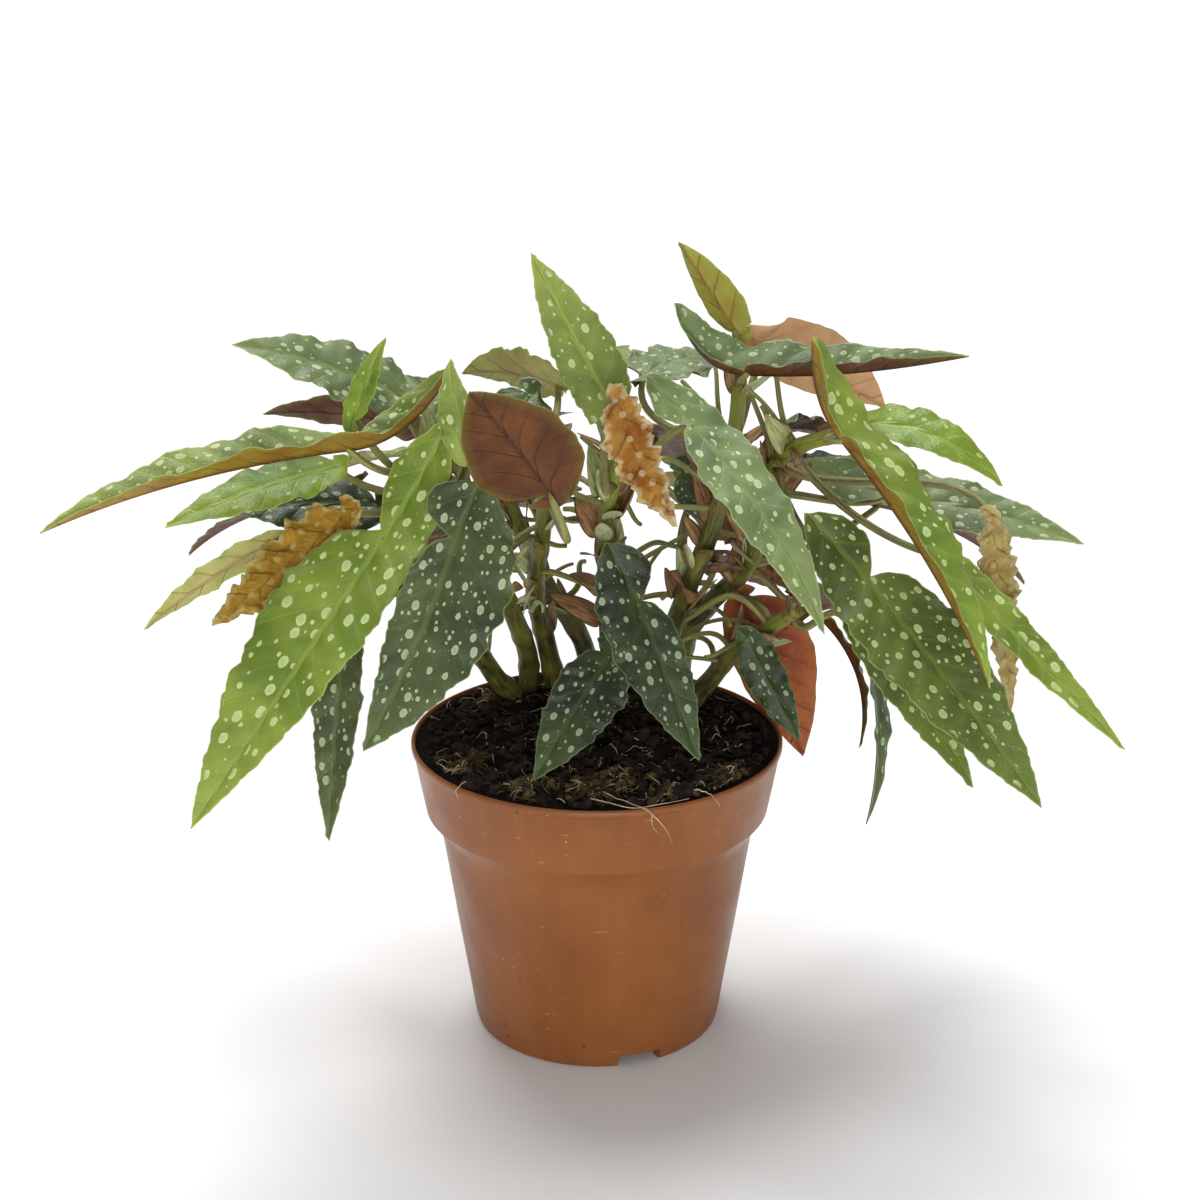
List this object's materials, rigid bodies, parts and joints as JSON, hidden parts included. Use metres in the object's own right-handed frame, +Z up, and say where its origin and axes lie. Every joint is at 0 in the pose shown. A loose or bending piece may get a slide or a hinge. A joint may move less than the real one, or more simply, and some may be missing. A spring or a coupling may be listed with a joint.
{
  "type": "potted begonia",
  "caption": "Angel-wing begonia with white-spotted lance-shaped leaves on several canes, growing in peat in a round brown nursery pot",
  "frame": {"origin": "middle of the pot's base, on the ground", "axes": "+Z up the pot's axis, -Y towards the front of the plant, +X to the right seen from the front"},
  "size_m": [0.3071, 0.2392, 0.2624],
  "materials": {
    "pot_plastic": "satin moulded polypropylene, terracotta brown, with specks of peat",
    "peat": "damp fibrous peat with pale roots and bits of moss",
    "cane": "fleshy olive-green stem, slightly ribbed, with paler joints",
    "leaf_bright": "satin bright green upper side with pale round spots, olive-brown underside",
    "leaf_dark": "satin dark green upper side with pale round spots and a pale margin, red-brown underside",
    "leaf_mid": "satin mid green upper side with pale round spots",
    "leaf_grey": "satin grey-green upper side with pale round spots, red-brown underside",
    "leaf_light": "satin pale green upper side with pale round spots, olive-brown underside",
    "leaf_young": "glossy yellow-green young leaf",
    "leaf_rust": "dull red-brown underside turned to view, with darker veins",
    "leaf_red": "dull red underside turned to view",
    "leaf_dry": "dry, crinkled, orange-tan dead leaf"
  },
  "bodies": {
    "root": {"pot": "pot_plastic", "peat": "peat", "cane_low_left": "cane", "cane_left": "cane", "cane_middle_left": "cane", "cane_back_left": "cane", "cane_middle": "cane", "cane_right_tall": "cane", "cane_low_right": "cane", "cane_right": "cane", "leaf_front_left_bright": "leaf_bright", "leaf_front_left_dark": "leaf_dark", "leaf_front_small_dark": "leaf_dark", "leaf_front_middle_dark": "leaf_dark", "leaf_front_grey": "leaf_grey", "leaf_top_right_folded": "leaf_grey", "leaf_top_right_underside": "leaf_rust", "leaf_top_bud_right": "leaf_young", "leaf_top_upright": "leaf_light", "leaf_dry_middle": "leaf_dry", "leaf_top_left_grey": "leaf_grey", "leaf_far_left_folded": "leaf_light", "leaf_left_bud": "leaf_young", "leaf_left_young": "leaf_young", "leaf_left_back_dark": "leaf_dark", "leaf_left_narrow": "leaf_light", "leaf_left_dry": "leaf_dry", "leaf_left_hanging": "leaf_dark", "leaf_middle_underside": "leaf_rust", "leaf_middle_upright": "leaf_light", "leaf_top_back_left": "leaf_light", "leaf_middle_teal": "leaf_mid", "leaf_top_back_right": "leaf_grey", "leaf_right_folded": "leaf_bright", "leaf_right_young": "leaf_young", "leaf_right_dark": "leaf_grey", "leaf_right_dry": "leaf_dry", "leaf_far_right": "leaf_bright", "leaf_front_right_big": "leaf_dark", "leaf_front_right_low": "leaf_dark", "leaf_right_edge_on": "leaf_rust", "leaf_right_curved": "leaf_rust", "leaf_right_red": "leaf_red", "leaf_right_small": "leaf_dark", "leaf_back_right_high": "leaf_rust", "leaf_back_left_high": "leaf_rust", "leaf_back_left_low": "leaf_rust", "leaf_inner_right": "leaf_rust", "leaf_back_right_low": "leaf_rust", "leaf_inner_withered": "leaf_dry", "leaf_inner_dark": "leaf_dark", "leaf_back_a": "leaf_dark", "leaf_back_b": "leaf_mid", "leaf_back_c": "leaf_bright", "leaf_back_d": "leaf_dark", "leaf_back_e": "leaf_grey", "leaf_back_f": "leaf_dark", "leaf_back_g": "leaf_light", "leaf_back_h": "leaf_grey", "leaf_back_i": "leaf_bright"}
  },
  "joints": []
}
